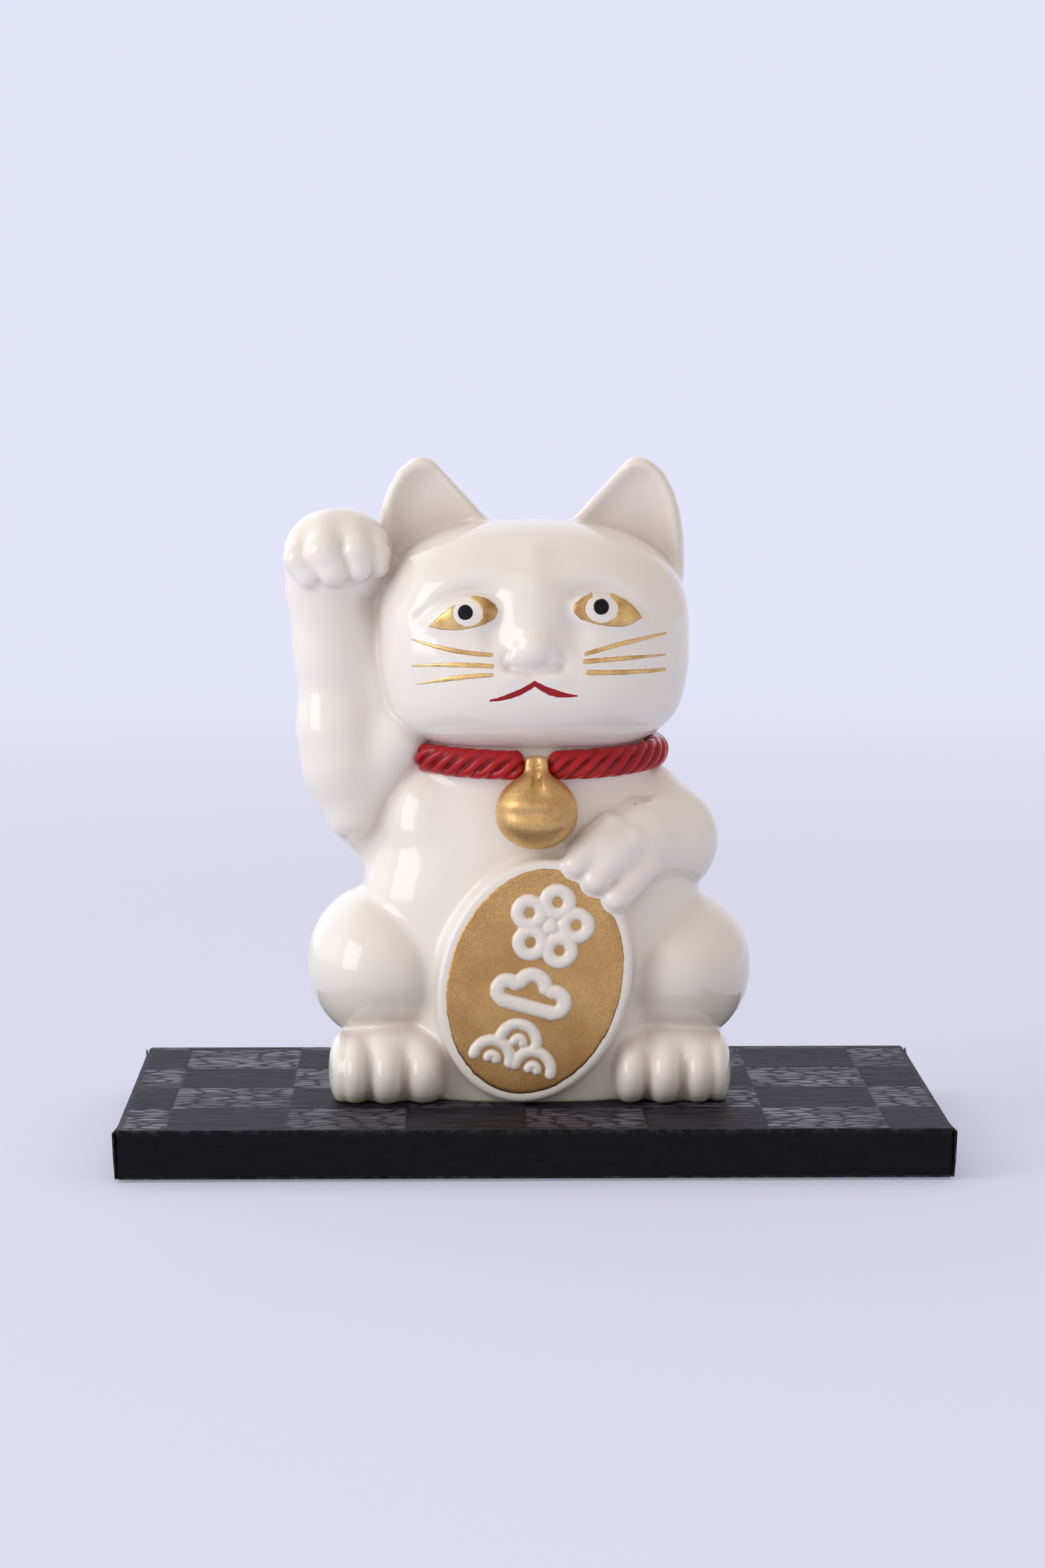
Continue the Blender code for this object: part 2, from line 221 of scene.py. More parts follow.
# The outer edges of the ear and of its dish, x and z
EAR = ((20.3, 114.8), (21.9, 113.5), (23.2, 111.2), (24.2, 108.2), (24.8, 104.0), (25.1, 97.0))
EAR_DISH = ((19.8, 111.9), (20.7, 110.6), (21.4, 108.6), (21.8, 105.8), (22.1, 100.0))


def ear_fan(q, edge, inner, y, r):
    """Thick triangles, all at one y, between an edge and one inner point."""
    return united(plate(q, (ax, y, az), (bx, y, bz), (inner[0], y, inner[1]), r)
                  for (ax, az), (bx, bz) in zip(edge, edge[1:]))


def ear_dish(p, side):
    return ear_fan(sided(p, side), EAR_DISH, (12.4, 103.6), -4.0, 6.9)


def ear(p, side):
    """A thick rounded ear with a shallow dish in its front."""
    q = sided(p, side)
    solid = join(ear_fan(q, EAR, (9.6, 103.0), 3.4, 3.7), blob(q, (18.5, 6.2, 101), (9.5, 6, 11)), 4)
    return carve(solid, ear_dish(p, side), 1.6)


def raised_arm(p):
    elbow = (-33.0, -4.2, 52.2)
    fore = chain(p, ((-37.9, -3, 94), (-37.1, -3, 82), (-35.8, -3, 68), (-34.6, -3.2, 60.5), elbow),
                 (7.9, 6.4, 7.3, 7.3, 4.6), 5)
    upper = limb(p, elbow, (-24.6, -5.0, 66.3), 4.6, 5.8)
    return united((fore, upper, plate(p, (-34.3, -2.7, 61), (-34.5, -2.0, 90), (-25, -3.0, 68), 5.7)), 4)


def arm_web(p):
    """Clay left between the raised arm and the head, chest and flank behind it."""
    beside_head = plate(p, (-30, 0.6, 64), (-32, -0.2, 99), (-22, 0.6, 90), 5.4)
    beside_chest = plate(p, (-31.5, -0.5, 51.5), (-26, 0, 46), (-24, 0, 66), 6.2)
    return join(beside_head, beside_chest, 3)


PAW_TOES = (((-41.6, -5.6, 103.4), (-42.9, -9.0, 100.0), (-41.0, -9.8, 96.9), (2.3, 2.8, 2.4)),
            ((-38.0, -6.9, 105.0), (-38.2, -11.0, 101.4), (-36.4, -11.8, 98.0), (2.9, 3.5, 2.9)),
            ((-32.9, -7.2, 105.0), (-32.3, -11.3, 101.6), (-31.7, -11.7, 98.4), (2.3, 2.8, 2.4)),
            ((-29.0, -6.0, 103.6), (-28.5, -9.4, 101.0), (-28.2, -9.8, 98.6), (2.1, 2.4, 2.0)))


def raised_paw(p):
    palm = blob(p, (-35.8, -3.2, 99.9), (10.2, 8.6, 9.3), 2.15)
    return join(palm, united((chain(p, toe, radii, 1) for *toe, radii in PAW_TOES), 1.0), 1.8)


def resting_arm(p):
    shoulder = limb(p, (19.8, 1, 52.3), (23.9, -2, 47.2), 9.8, 11)
    forearm = chain(p, ((23.9, -3, 47.2), (18.7, -11.0, 47.4), (13.4, -16.4, 45.9), (9.6, -19.0, 45.4)),
                    (10.6, 8.3, 6.5, 3.8), 2)
    return join(shoulder, forearm, 2)


FINGERS = (((14.2, -17.4, 51.0), (8.0, -21.4, 44.7), 2.9), ((18.0, -17.9, 48.8), (11.6, -21.8, 41.9), 3.0),
           ((20.8, -16.9, 44.0), (15.4, -21.4, 38.5), 2.9))


def fingers(p):
    return united((limb(p, near, far, r, r * 0.9) for near, far, r in FINGERS), 0.7)


def tail(p):
    return chain(p, ((2, 25, 5.5), (12, 29, 8.5), (20, 28.5, 15), (22, 26.5, 23)), (6.5, 6, 5, 3.8), 3)


def coin_bed(p):
    q = turned(p, (COIN_X, 0, COIN_Z), (0, COIN_TILT, 0))
    side = oval(q[:, 0], q[:, 2], *(COIN_HALF + COIN_RIM).tolist())
    front, back = COIN_FACE, -12.0
    return carve(side, (back - front) / 2 - np.abs(q[:, 1] - (front + back) / 2), 2.1)


def underside(p, d):
    """The floor of the cast figure: a bare foot ring, a shallow recess, the vent and the hollow above it."""
    d = carve(d, p[:, 2] + 0.2, 1.0)
    d = carve(d, blob(p, (0, 2, -0.2), (26, 17, 1.5), 2.6), 0.8)
    vent = np.maximum(np.hypot(p[:, 0], p[:, 1] - 6) - 7, p[:, 2] - 12)
    hollow = join(blob(p, (0, 4.5, 22), (22, 15, 17), 2.4), vent, 2.0)
    return carve(d, hollow, 0.8)


def body(p):
    d = join(join(torso(p), tail(p), 2), coin_bed(p), 3.0)
    d = united((d, foot(p, -1), foot(p, 1)), 2.2)
    skull = united((head(p), ear(p, -1), ear(p, 1)), 2.4)
    d = join(d, arm_web(p), 3)
    d = join(d, join(raised_arm(p), raised_paw(p), 1.8), 1.3)
    d = join(d, join(resting_arm(p), fingers(p), 1.4), 1.5)
    return underside(p, join(d, skull, 1.3))


BELL = (0.7, -20.8, 54.3)


def bell_form(p):
    """A squat ball under a pinched strap: a crease runs down the strap into a dip, over two soft bands."""
    x, y, z = BELL
    across, up = p[:, 0] - x, p[:, 2] - z

    def swell(height, half, reach=40.0):
        return np.exp(-((up - height) / half) ** 2 - (across / reach) ** 2)
    relief = 0.30 * swell(1.9, 1.2, 8.0) + 0.34 * swell(-1.8, 1.6, 7.0)
    relief -= 0.36 * swell(0.2, 1.0, 3.8) + 0.12 * swell(-4.6, 1.3, 5.0) + 1.1 * swell(3.9, 1.5, 1.9)
    ball = blob(p, (x, y, z), (7.5, 6.3, 6.8), 2.1)
    shoulders = limb(p, (x, y + 0.2, z + 3.0), (x, y + 1.4, z + 7.9), 5.0, 1.6)
    strap = blob(p, (x, y + 1.4, z + 8.3), (2.1, 1.6, 1.9), 4)
    d = join(join(ball, shoulders, 2.2), strap, 1.6) - relief * smoothstep((y + 2 - p[:, 1]) / 4)
    down = ((-0.25, 11), (-0.3, 8.3), (-1.75, 6.7), (-4.3, 5.0))
    crease = chain(p, [(x, y + dy, z + dz) for dy, dz in down], (0.38, 0.45, 0.65, 1.0), 0.8)
    return carve(d, crease, 1.1)


# ---- meshing a field

def evaluate(field, points, chunk=200000):
    out = np.empty(len(points), F32)
    for i in range(0, len(points), chunk):
        out[i:i + chunk] = field(points[i:i + chunk].astype(F32))
    return out


def crossing(a, b):
    """Where neighbouring values differ in sign, and how far along the zero lies."""
    cross = (a < 0) != (b < 0)
    return cross, np.where(cross, a / np.where(cross, a - b, 1), 0)


def surface_net(field, low, high, step, block=8):
    """Quads over a field's zero surface, with one point in each grid cell that it crosses.
    Blocks of cells that lie far from the surface keep their one rough value."""
    low = np.array(low, float)
    counts = np.ceil((np.array(high, float) - low) / step / block).astype(int)

    def grid(sizes):
        return np.stack(np.meshgrid(*[np.arange(c) for c in sizes], indexing="ij"), -1).reshape(-1, 3)
    rough = evaluate(field, low + (grid(counts) + 0.5) * block * step).reshape(counts)
    values = reduce(lambda rows, axis: np.repeat(rows, block, axis), range(3), rough)
    near = np.argwhere(np.abs(rough) < 1.35 * block * step)
    inner = grid([block] * 3)
    for i in range(0, len(near), 400):
        at = (near[i:i + 400, None] * block + inner).reshape(-1, 3)
        values[tuple(at.T)] = field((low + at * step).astype(F32))
    inside = values < 0
    half = (slice(None, -1), slice(1, None))
    corners = grid([2] * 3)
    filled = sum(inside[half[i], half[j], half[k]].astype(np.int8) for i, j, k in corners)
    cells = np.argwhere((filled > 0) & (filled < 8))
    ids = np.full(filled.shape, -1, np.int64)
    ids[tuple(cells.T)] = np.arange(len(cells))
    v = np.stack([values[tuple((cells + o).T)] for o in corners], 1)
    sums, number = np.zeros((len(cells), 3)), np.zeros(len(cells))
    for a in range(8):
        for b in range(a + 1, 8):
            if np.abs(corners[a] - corners[b]).sum() == 1:
                cross, t = crossing(v[:, a], v[:, b])
                sums += np.where(cross[:, None], corners[a] + t[:, None] * (corners[b] - corners[a]), 0)
                number += cross
    points = low + (cells + sums / number[:, None]) * step
    quads = []
    for axis in range(3):
        one, left, up = (np.eye(3, dtype=int)[(axis + k) % 3] for k in range(3))
        here = inside[tuple(slice(0, n - d) for n, d in zip(inside.shape, one))]
        there = inside[tuple(slice(d, n) for n, d in zip(inside.shape, one))]
        for edges, order in ((here & ~there, 1), (~here & there, -1)):
            e = np.argwhere(edges)
            e = e[(e[:, (axis + 1) % 3] > 0) & (e[:, (axis + 2) % 3] > 0)]
            around = [ids[tuple(np.minimum(e - d, np.array(ids.shape) - 1).T)]
                      for d in (0 * one, left, left + up, up)]
            quads.append(np.stack(around, 1)[:, ::order])
    quads = np.concatenate(quads)
    return points, quads[(quads >= 0).all(1)]


def gradient(field, points, eps=0.05):
    return np.stack([(evaluate(field, points + e) - evaluate(field, points - e)) / (2 * eps)
                     for e in np.eye(3) * eps], 1)


def settle(field, points):
    """Points moved onto the zero surface, and the surface's normals there."""
    slope = gradient(field, points)
    steep = np.maximum((slope * slope).sum(1), 0.2)
    points = points - np.clip(evaluate(field, points) / steep, -1, 1)[:, None] * slope
    slope = gradient(field, points)
    return points, slope / np.sqrt(np.maximum((slope * slope).sum(1), 1e-9))[:, None]


# ---- pieces

def make_piece(name, points, faces, finish, slot, replaces=(), values=None, body_name="figure"):
    """A smooth mesh from millimetre points, riding on a CAD body. values are named point attributes."""
    points = np.asarray(points) + (0, 0, SEAT if body_name == "figure" else 0)
    mesh = bpy.data.meshes.new(name)
    mesh.from_pydata((points * MM).tolist(), [], [tuple(f) for f in faces])
    mesh.validate()
    mesh.shade_smooth()
    for key, numbers in (values or {}).items():
        mesh.attributes.new(key, "FLOAT", "POINT").data.foreach_set("value", np.asarray(numbers, F32))
    piece = bpy.data.objects.new(name, mesh)
    bpy.context.scene.collection.objects.link(piece)
    mesh.materials.append(finish)
    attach(piece, body_name)
    if replaces:
        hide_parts(*replaces)
    return piece


def noise(x, y, seed=0):
    """Smooth noise from -1 to 1 over a plane, the same each run: value noise on a hashed grid."""
    def corner(i, j):
        h = np.sin(i * 127.1 + j * 311.7 + seed * 74.7) * 43758.5453
        return (h - np.floor(h)) * 2 - 1
    i, j = np.floor(x), np.floor(y)
    u, v = smoothstep(x - i), smoothstep(y - j)
    low = corner(i, j) * (1 - u) + corner(i + 1, j) * u
    high = corner(i, j + 1) * (1 - u) + corner(i + 1, j + 1) * u
    return low * (1 - v) + high * v


def front_of_body(x, z):
    """The y at which a line from the front first meets the cat's skin."""
    y = np.full(len(x), -40.0)
    for _ in range(40):
        y += evaluate(body, np.stack([x, y, z], 1)) * 0.8
    return y


def patch_grid(region, low, high, step):
    """Points and quads that fill a region of the x, z plane, and the points' distances in from its edge."""
    xs, zs = (np.arange(a, b + step, step) for a, b in zip(low, high))
    x, z = np.meshgrid(xs, zs, indexing="ij")
    d = region(x.ravel(), z.ravel()).reshape(x.shape)
    inside = d < 0
    corner = ((0, 0), (1, 0), (1, 1), (0, 1))
    n, m = len(xs) - 1, len(zs) - 1

    def at(grid, c):
        return grid[c[0]:c[0] + n, c[1]:c[1] + m]
    used = sum(at(inside, c).astype(int) for c in corner)
    px, pz, count = np.zeros((3, n, m))
    for a, b in zip(corner, corner[1:] + corner[:1]):
        cross, t = crossing(at(d, a), at(d, b))
        px += np.where(cross, a[0] + t * (b[0] - a[0]), 0)
        pz += np.where(cross, a[1] + t * (b[1] - a[1]), 0)
        count += cross
    whole = used == 4
    px, pz = (np.where(whole, 0.5, total / np.maximum(count, 1)) for total in (px, pz))
    cells = np.argwhere(used > 0)
    ids = np.full((n, m), -1)
    ids[tuple(cells.T)] = np.arange(len(cells))
    points = np.stack([xs[cells[:, 0]] + px[used > 0] * step, zs[cells[:, 1]] + pz[used > 0] * step], 1)
    e = np.argwhere(inside[1:-1, 1:-1]) + 1
    quads = np.stack([ids[e[:, 0] - i, e[:, 1] - j] for i, j in ((1, 1), (0, 1), (0, 0), (1, 0))], 1)
    depth = np.where(whole[used > 0], -region(points[:, 0], points[:, 1]), 0)
    return points, quads, np.maximum(depth, 0)


def sheet_quads(index):
    """Quads between the neighbours in a grid of point numbers."""
    return np.stack([index[:-1, :-1], index[1:, :-1], index[1:, 1:], index[:-1, 1:]], -1).reshape(-1, 4)


def closed_patch(front, back, quads):
    """Two layers over the same quads, walled along their edges, as one closed mesh."""
    n = len(front)
    sides = np.concatenate([quads[:, [a, b]] for a, b in ((0, 1), (1, 2), (2, 3), (3, 0))])
    rim = sides[~np.isin(sides @ (n, 1), sides @ (1, n))]
    walls = np.stack([rim[:, 1], rim[:, 0], rim[:, 0] + n, rim[:, 1] + n], 1)
    return np.concatenate([front, back]), np.concatenate([quads, quads[:, ::-1] + n, walls])


def painted(name, region, low, high, finish, slot, film=0.09, inner_shade=None):
    """A film of paint on the cat's skin, swelling in from its edge, with the region seen from the front."""
    flat, quads, depth = patch_grid(region, low, high, 0.13 if FINE else 0.2)
    skin = np.stack([flat[:, 0], front_of_body(flat[:, 0], flat[:, 1]), flat[:, 1]], 1)
    slope = gradient(body, skin)
    normal = slope / np.sqrt((slope * slope).sum(1))[:, None]
    rise = film * np.sqrt(smoothstep(depth / 0.3)) - 0.012
    points, faces = closed_patch(skin + normal * rise[:, None], skin - normal * 0.3, quads)
    values = {"inset": np.tile(depth, 2)}
    # Painted shade: a share that darkens the gold towards the eyes' inner corners.
    if inner_shade:
        values["inner_shade"] = np.tile(inner_shade(flat[:, 0]), 2)
    make_piece(name, points, faces, finish, slot, values=values)


def on_coin(x, z):
    """Places on the coin's face, in millimetres along its own width and height, in the cat's x and z."""
    tilt = math.radians(COIN_TILT)
    c, s = math.cos(tilt), math.sin(tilt)
    return COIN_X + x * c + z * s, COIN_Z - x * s + z * c


def on_plaque(name, flat, quads, rise, under, finish, slot, node, values):
    """A closed patch on the coin: its front rises from the coin's face, and its back lies under it."""
    x, z = on_coin(flat[:, 0], flat[:, 1])
    front, back = (np.stack([x, COIN_FACE + 0 * x + y, z], 1) for y in (-rise, under))
    make_piece(name, *closed_patch(front, back, quads), finish, slot, (node,), values)


# ---- painted outlines

def off_rod(x, z, a, b):
    """Distance in a plane from the line between a and b, and the share of the line where it is nearest."""
    (ax, az), (ux, uz) = a, (b[0] - a[0], b[1] - a[1])
    t = np.clip(((x - ax) * ux + (z - az) * uz) / (ux * ux + uz * uz), 0, 1)
    return np.hypot(x - ax - t * ux, z - az - t * uz), t


def stroke(x, z, points, widths):
    """Distance to a brush stroke through the points, widening and narrowing."""
    def rod(a, b, at_a, at_b):
        d, t = off_rod(x, z, a, b)
        return d - (at_a + t * (at_b - at_a))
    return united(rod(*ends) for ends in zip(points, points[1:], widths, widths[1:]))


def bow(a, b, bend, count=8):
    """Points along an arc from a to b whose middle stands bend off the straight line."""
    a, b, t = np.array(a), np.array(b), np.linspace(0, 1, count)[:, None]
    off = np.array((a[1] - b[1], b[0] - a[0])) / math.hypot(*(b - a))
    return (a + (b - a) * t + off * bend * 4 * t * (1 - t)).tolist()


def inside_loop(x, z, loop):
    """Signed distance to a closed outline given by its points."""
    sides, inside = list(zip(loop, loop[1:] + loop[:1])), np.zeros(len(x), bool)
    for (ax, az), (bx, bz) in sides:
        left = (bx - ax) * (z - az) > (bz - az) * (x - ax)
        inside ^= ((az <= z) != (bz <= z)) & (left == (bz > az))
    away = united(off_rod(x, z, *side)[0] for side in sides)
    return np.where(inside, -away, away)


# Each eye: its pupil's middle and radius; then, counted from there, the white ring's middle and half-sizes, the
# ring's gap, and the almond from its outer tip over the top and back
EYES = {
    "left": ((-12.3, 91.1), 1.38, (0.45, -0.1, 2.7, 2.42), (-1.2, 3.6),
             ((-6.7, -2.8), (-4.0, -0.1), (0.7, 2.75), (4.1, 2.4), (5.85, 0.4), (4.6, -1.7), (0.3, -3.05),
              (-3.5, -3.3), (-6.7, -2.8))),
    "right": ((12.4, 92.1), 1.42, (0.05, -0.4, 3.0, 2.5), (0.0, 3.6),
              ((7.6, -2.3), (5.6, 0.3), (1.8, 2.4), (-2.2, 2.3), (-4.9, 0.2), (-4.2, -1.95), (0.1, -3.35),
               (4.2, -3.65), (7.6, -2.3))),
}


def smooth_line(points, steps=7):
    """A line that runs smoothly through its points, free at both ends."""
    pts = np.array(points, float)
    ends = np.concatenate([[2 * pts[0] - pts[1]], pts, [2 * pts[-1] - pts[-2]]])
    out = []
    for a, b, c, d in zip(ends, ends[1:], ends[2:], ends[3:]):
        for t in np.arange(steps) / steps:
            square, cube = 2 * a - 5 * b + 4 * c - d, 3 * b - a - 3 * c + d
            out.append(0.5 * (2 * b + (c - a) * t + square * t ** 2 + cube * t ** 3))
    return [tuple(point) for point in out] + [tuple(pts[-1])]


def eye_gold(u, v, ring, gap, almond):
    """The gold almond, less the white ring round the pupil, open where the ring meets the upper lid."""
    cx, cz, rx, rz = ring
    gold_area = inside_loop(u, v, smooth_line(almond)[:-1])
    opening = stroke(u, v, ((cx, cz), gap), (1.5, 1.7))
    left = np.maximum(np.maximum(gold_area, -oval(u - cx, v - cz, rx, rz)), -opening)
    return left + 0.09 * noise(u * 2.6, v * 2.6, 5)


# Whiskers from the nose side out: start, end, bow, half-width at start, middle and end
WHISKERS = {
    "left_1": ((-7.6, 83.4), (-22.2, 85.9), 0.45, (0.40, 0.47, 0.16)),
    "left_2": ((-7.5, 81.4), (-22.1, 81.0), -0.3, (0.44, 0.46, 0.15)),
    "left_3": ((-7.6, 79.8), (-21.1, 77.6), -0.4, (0.42, 0.50, 0.13)),
    "right_1": ((9.7, 83.6), (24.3, 86.8), 0.25, (0.38, 0.48, 0.26)),
    "right_2": ((9.5, 82.2), (24.4, 82.9), 0.1, (0.48, 0.44, 0.15)),
    "right_3": ((10.1, 80.2), (24.1, 80.2), -0.1, (0.52, 0.46, 0.38)),
}
MOUTH = (((-7.8, 75.1), (0.3, 78.3), -0.5, (0.20, 0.58, 0.50)),
         ((0.3, 78.3), (8.0, 76.0), -0.65, (0.50, 0.74, 0.14)))


def brush(x, z, a, b, bend, widths):
    """A bowed stroke with a slightly ragged edge."""
    points = bow(a, b, bend)
    taper = np.interp(np.linspace(0, 1, len(points)), (0, 0.5, 1), widths)
    return stroke(x, z, points, list(taper)) + 0.05 * noise(x * 2.3, z * 4.1, 9)


# ---- emblems on the coin

EMBLEM_HEIGHT = 1.0
LINE = 1.4                    # half-width of an emblem's line


def arc(centre, radius, start, end, count=14):
    angles = [math.radians(start + (end - start) * i / (count - 1)) for i in range(count)]
    return [(centre[0] + radius * math.cos(a), centre[1] + radius * math.sin(a)) for a in angles]


def blossom():
    """Five ring petals round a dot."""
    headings = [math.radians(90 + 72 * i) for i in range(5)]
    petals = [(arc((4.7 * math.cos(a), 10.6 + 4.7 * math.sin(a)), 2.2, 0, 360, 24), 1.25) for a in headings]
    return petals + [(arc((0, 10.6), 0.4, 0, 360), 1.1)]


def cloud():
    """The outline of a cloud with three puffs over a flat base."""
    return [(arc((-4.4, -2.9), 1.9, 270, 60), LINE), (arc((-0.2, -1.3), 2.5, 165, 15), LINE),
            (arc((4.3, -2.8), 2.0, 115, -90), LINE), ([(-4.4, -4.8), (4.3, -4.8)], LINE)]


def wave():
    """Three overlapping fan-shaped waves, each a band over a core."""
    return [(arc((x, z), r, 180, 0), half) for x, z in ((-3.9, -15.8), (3.9, -15.8), (0, -11.6))
            for r, half in ((3.4, 1.1), (0.8, 0.95))]


def emblem(name, shape, node):
    """Raised glaze on the coin's face, rounded over at its edges."""
    def region(x, z):
        strokes = (stroke(x, z, line, [half] * len(line)) for line, half in shape)
        return united(strokes, 0.4) + 0.05 * noise(x * 1.3, z * 1.3, 2)
    outline = np.concatenate([line for line, _ in shape])
    margin = LINE + 1.5
    low, high = outline.min(0) - margin, outline.max(0) + margin
    flat, quads, depth = patch_grid(region, low, high, 0.2 if FINE else 0.35)
    over = np.clip(depth / (LINE * 0.92), 0, 1)
    rise = 0.1 + EMBLEM_HEIGHT * (0.12 + 0.88 * np.sqrt(1 - (1 - over) ** 2.2))
    on_plaque(name, flat, quads, rise, 0.3, GLAZE, "white_glaze", node, {"cavity": np.zeros(2 * len(flat))})


def coin_face():
    """The gold oval: a shallow dish within the white lip, cut off where the fingers lie over it."""
    def region(x, z):
        cat_x, cat_z = on_coin(x, z)
        at = np.stack([cat_x, np.full(len(x), COIN_FACE - 0.25), cat_z], 1).astype(F32)
        hand = join(resting_arm(at), fingers(at), 1.4)
        edge = oval(x, z, *COIN_HALF) + 0.1 * noise(x * 0.8, z * 0.8, 4)
        return np.maximum(edge, -hand) + 0.06 * noise(x * 2.5, z * 2.5, 8)
    flat, quads, depth = patch_grid(region, -COIN_HALF - 1, COIN_HALF + 1, 0.3 if FINE else 0.6)
    rise = 0.12 * np.sqrt(smoothstep(depth / 0.5)) - 0.06 * smoothstep(depth / 5) - 0.02
    on_plaque("coin_gold_face", flat, quads, rise, 0.8, GOLD, "gold_lustre", "coin_plaque",
              {"inset": np.tile(depth, 2)})


# ---- collar

NECK = (0.3, 0.5, 62.6)
COLLAR_PATH = (23.2, 18.2)
COLLAR_SECTION = (2.4, 2.75)
COLLAR_LENGTHS = {"collar_short": (-64.0, -3.8), "collar_long": (5.6, 230.0)}
COLLAR_SLOPE = 0.07           # it climbs towards the back
COLLAR_CAP = 1.9              # length of a rounded end
STRANDS, TWIST = 5, 0.41      # lobes round the cord, and its turn in radians per millimetre


def collar(name, start, end):
    """A twisted cord between two angles round the neck, with rounded ends and a glazed-over look."""
    def path(angle):
        return NECK[0] + COLLAR_PATH[0] * np.sin(angle), NECK[1] - COLLAR_PATH[1] * np.cos(angle)
    fine = np.radians(np.linspace(start, end, 2000))
    run = np.append(0, np.cumsum(np.hypot(*np.diff(path(fine)))))
    length = run[-1]
    count = int(length / (0.28 if FINE else 0.5))
    s = np.linspace(0, length, count)
    s[:6], s[-6:] = np.linspace(0, 1, 6) ** 2 * s[5], length - np.linspace(1, 0, 6) ** 2 * s[5]
    angle = np.interp(s, run, fine)
    from_end = np.clip(np.minimum(s, length - s) / COLLAR_CAP, 0, 1)
    taper = np.maximum(np.sqrt(1 - (1 - from_end) ** 2), 0.02)
    normal = np.stack([np.sin(angle) / COLLAR_PATH[0], -np.cos(angle) / COLLAR_PATH[1]], 1)
    normal /= np.hypot(*normal.T)[:, None]
    phi = np.linspace(0, 2 * math.pi, 56 if FINE else 32, endpoint=False)[None, :]
    lobe = STRANDS / 2 * (phi - TWIST * s[:, None] + 0.08 * np.sin(phi))
    groove = (1 - np.abs(np.sin(lobe))) ** 1.4
    facing = smoothstep(1.18 - np.abs(np.sin(phi)) * 0.98)
    swell = 1 + 0.03 * noise(s[:, None] * 0.5, phi * 0.6, 3)
    radius = taper[:, None] * swell * (1 - 0.40 * groove * facing)
    out = COLLAR_SECTION[0] * radius * np.cos(phi)
    up = COLLAR_SECTION[1] * radius * np.sign(np.sin(phi)) * np.abs(np.sin(phi)) ** 0.9
    x, y = (middle[:, None] + away[:, None] * out for middle, away in zip(path(angle), normal.T))
    z = NECK[2] + COLLAR_SLOPE * (y - NECK[1] + COLLAR_PATH[1]) + up
    points = np.stack([x, y, z], -1).reshape(-1, 3)
    index = np.arange(len(points)).reshape(count, -1)
    quads = sheet_quads(np.append(index, index[:, :1], 1))
    make_piece(name + "_cord", points, [*quads.tolist(), index[0], index[-1, ::-1]], ENAMEL, "red_enamel",
               (name,), {"groove": (groove * facing).ravel()})


# ---- materials

def wire(tree, node, inputs):
    """A node with its inputs set, or linked where the value is a socket. RGB colours get their alpha."""
    for key, value in inputs.items():
        if isinstance(value, bpy.types.NodeSocket):
            tree.links.new(value, node.inputs[key])
        else:
            colour = node.inputs[key].type == "RGBA"
            node.inputs[key].default_value = (*value, 1) if colour else value
    return node


def add(tree, kind, inputs=None, **settings):
    node = tree.nodes.new("ShaderNode" + kind)
    for key, value in settings.items():
        setattr(node, key, value)
    return wire(tree, node, inputs or {})


def material(name, recipe, *given):
    """A material whose recipe makes its colour, its roughness, its bumps if any and then other inputs."""
    made = bpy.data.materials.new(name)
    made.use_nodes = True
    tree = made.node_tree
    colour, roughness, bumps, *others = recipe(tree, *given)
    others += [("Base Color", colour), ("Roughness", roughness)] + [("Normal", bumps)] * bool(bumps)
    wire(tree, tree.nodes["Principled BSDF"], dict(others))
    return made


def place(tree, stretch=(1, 1, 1)):
    """The point in the frame, in metres, stretched for grain."""
    where = add(tree, "TexCoord").outputs["Object"]
    return add(tree, "Mapping", {"Vector": where, "Scale": stretch}).outputs["Vector"]


def grain(tree, scale, detail=3.0, stretch=(1, 1, 1), roughness=0.5):
    return add(tree, "TexNoise", {"Vector": place(tree, stretch), "Scale": scale, "Detail": detail,
                                  "Roughness": roughness}).outputs["Fac"]


def spread(tree, value, low, high, to_low=0.0, to_high=1.0, how="LINEAR"):
    return add(tree, "MapRange", {"Value": value, "From Min": low, "From Max": high, "To Min": to_low,
                                  "To Max": to_high}, interpolation_type=how).outputs["Result"]


def patches(tree, scale, *limits):
    """Grain spread over its limits."""
    return spread(tree, grain(tree, scale), *limits)


def mixed(tree, share, a, b, how="MIX"):
    """Two colours mixed by a share. A colour is RGB or a socket."""
    return add(tree, "Mix", {0: share, 6: a, 7: b}, data_type="RGBA", blend_type=how).outputs[2]


def times(tree, a, b):
    return add(tree, "Math", {0: a, 1: b}, operation="MULTIPLY").outputs[0]


def point_value(tree, name):
    return add(tree, "Attribute", attribute_name=name).outputs["Fac"]


def share_of(tree, name, share):
    """A part of a point value."""
    return times(tree, point_value(tree, name), share)


def bump(tree, height, strength, distance, **under):
    """Bumps, over those that under gives as its Normal."""
    inputs = {"Height": height, "Strength": strength, "Distance": distance, **under}
    return add(tree, "Bump", inputs).outputs["Normal"]


def specks(tree, scale, size, share):
    """Rare small round marks: 1 on a mark."""
    cells = add(tree, "TexVoronoi", {"Vector": place(tree), "Scale": scale})
    lot = add(tree, "SeparateColor", {0: cells.outputs["Color"]}).outputs[0]
    return times(tree, spread(tree, cells.outputs["Distance"], size, size * 0.6),
                 spread(tree, lot, share, share * 0.98))


